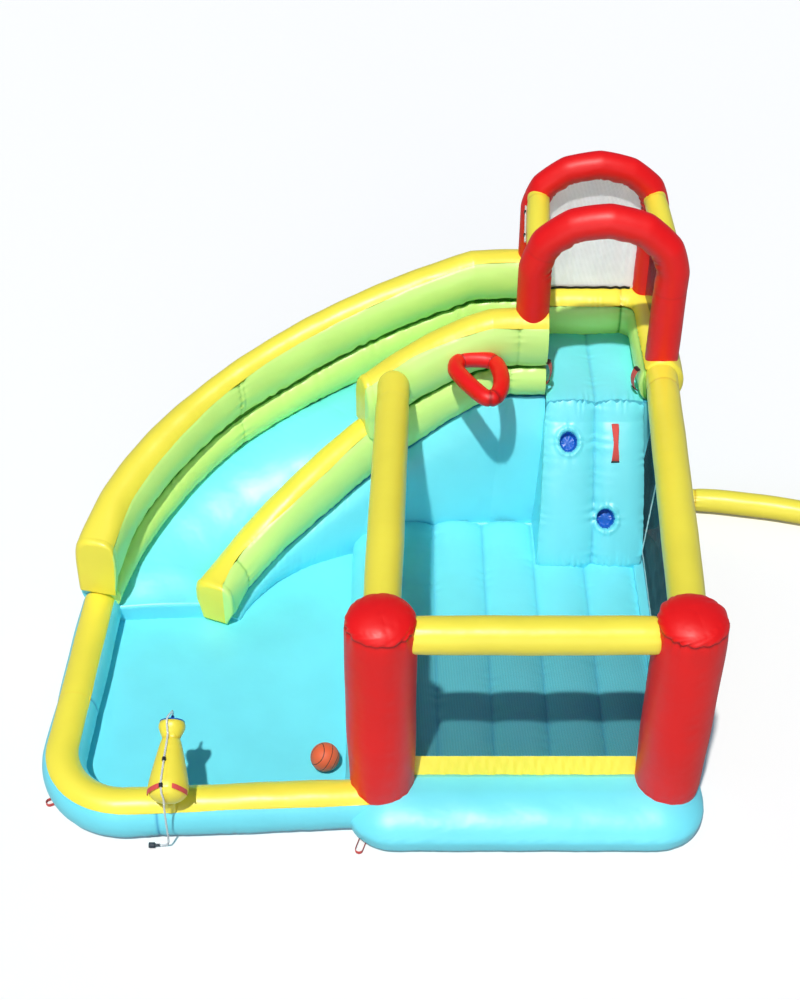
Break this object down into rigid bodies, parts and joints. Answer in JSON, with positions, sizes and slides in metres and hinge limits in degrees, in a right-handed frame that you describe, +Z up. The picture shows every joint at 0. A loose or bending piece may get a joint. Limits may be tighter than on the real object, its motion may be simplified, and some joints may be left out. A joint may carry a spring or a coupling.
{
  "type": "bounce house",
  "caption": "Inflatable play centre: netted bounce area, climbing wall, platform under arches, curved water slide, splash pool with a swivelling water cannon, hoop, ball and inflation sleeve.",
  "frame": {"origin": "centre of the bounce base's flat underside, on the ground", "axes": "+X to the right and +Y to the back for someone who stands in front of the bounce area, +Z up"},
  "size_m": [5.2857, 3.93, 2.5978],
  "materials": {
    "coated_cloth_blue": "satin, laminated woven cloth, light blue",
    "coated_cloth_green": "satin, laminated woven cloth, lime green",
    "coated_cloth_yellow": "satin, laminated woven cloth, yellow",
    "coated_cloth_red": "satin, laminated woven cloth, red",
    "dark_net": "knotless knitted net, matt, near black",
    "white_mesh": "knitted mesh, matt, white",
    "red_webbing": "woven webbing, matt, coral red",
    "black_webbing": "woven webbing, matt, black",
    "blue_plastic": "moulded, semi-gloss, dark blue",
    "clear_hose": "clear soft tube",
    "ball_rubber": "matt, pebbled, orange with black lines"
  },
  "bodies": {
    "frame": {"anchor_left": "red_webbing", "anchor_pool": "red_webbing", "anchor_slide": "red_webbing", "back_mesh": "white_mesh", "bounce_base": "coated_cloth_blue", "bounce_floor": "coated_cloth_blue", "cannon_hose_free": "clear_hose", "cannon_stalk": "coated_cloth_yellow", "climbing_strap": "red_webbing", "climbing_wall_left": "coated_cloth_blue", "climbing_wall_right": "coated_cloth_blue", "front_arch": "coated_cloth_red", "front_net": "dark_net", "front_rail": "coated_cloth_yellow", "hoop": "coated_cloth_red", "hose_connector": "blue_plastic", "inflation_sleeve": "coated_cloth_yellow", "inner_wall_crest": "coated_cloth_yellow", "inner_wall_low_crest": "coated_cloth_yellow", "inner_wall_low_side": "coated_cloth_green", "inner_wall_lower_tube": "coated_cloth_green", "inner_wall_upper_side": "coated_cloth_green", "left_handle": "red_webbing", "left_post": "coated_cloth_red", "left_rail": "coated_cloth_yellow", "left_roof_tube": "coated_cloth_yellow", "outer_wall_crest": "coated_cloth_yellow", "outer_wall_lower_inside": "coated_cloth_green", "outer_wall_lower_outside": "coated_cloth_blue", "outer_wall_upper_inside": "coated_cloth_green", "platform": "coated_cloth_blue", "pool_floor": "coated_cloth_blue", "pool_wall": "coated_cloth_blue", "pool_wall_crest": "coated_cloth_yellow", "rear_arch": "coated_cloth_red", "right_handle": "red_webbing", "right_net": "dark_net", "right_post": "coated_cloth_red", "right_rail": "coated_cloth_yellow", "right_roof_tube": "coated_cloth_yellow", "roof_clip_front": "black_webbing", "roof_clip_rear": "black_webbing", "roof_hose": "clear_hose", "side_net": "dark_net", "sill_band": "coated_cloth_yellow", "slide_body": "coated_cloth_blue", "slide_lane": "coated_cloth_blue", "tower_body": "coated_cloth_blue", "tower_wall_crest": "coated_cloth_yellow", "tower_wall_inside": "coated_cloth_green"},
    "cannon": {"cannon_barrel": "coated_cloth_yellow", "cannon_nozzle": "blue_plastic", "cannon_hose_held": "clear_hose", "cannon_left_handle": "red_webbing", "cannon_right_handle": "red_webbing", "cannon_clip_rear": "black_webbing", "cannon_clip_front": "black_webbing"},
    "ball": {"ball": "ball_rubber"},
    "nut": {"connector_nut": "blue_plastic"}
  },
  "joints": [
    {"name": "cannon_swivel", "type": "hinge", "parent": "frame", "child": "cannon", "pos_m": [-2.085, -1.245, 0.34], "axis": [0, 0, 1], "range_deg": [-30, 30], "stiffness_Nm_per_rad": 3, "deforming": ["cannon_hose_free"]},
    {"name": "ball_lift", "type": "slide", "parent": "frame", "child": "ball", "axis": [0, 0, 1], "range_m": [0, 1.2]},
    {"name": "connector_nut_turn", "type": "hinge", "parent": "frame", "child": "nut", "pos_m": [-2.215, -1.325, 0.018], "axis": [1, 0, 0], "continuous": true}
  ]
}
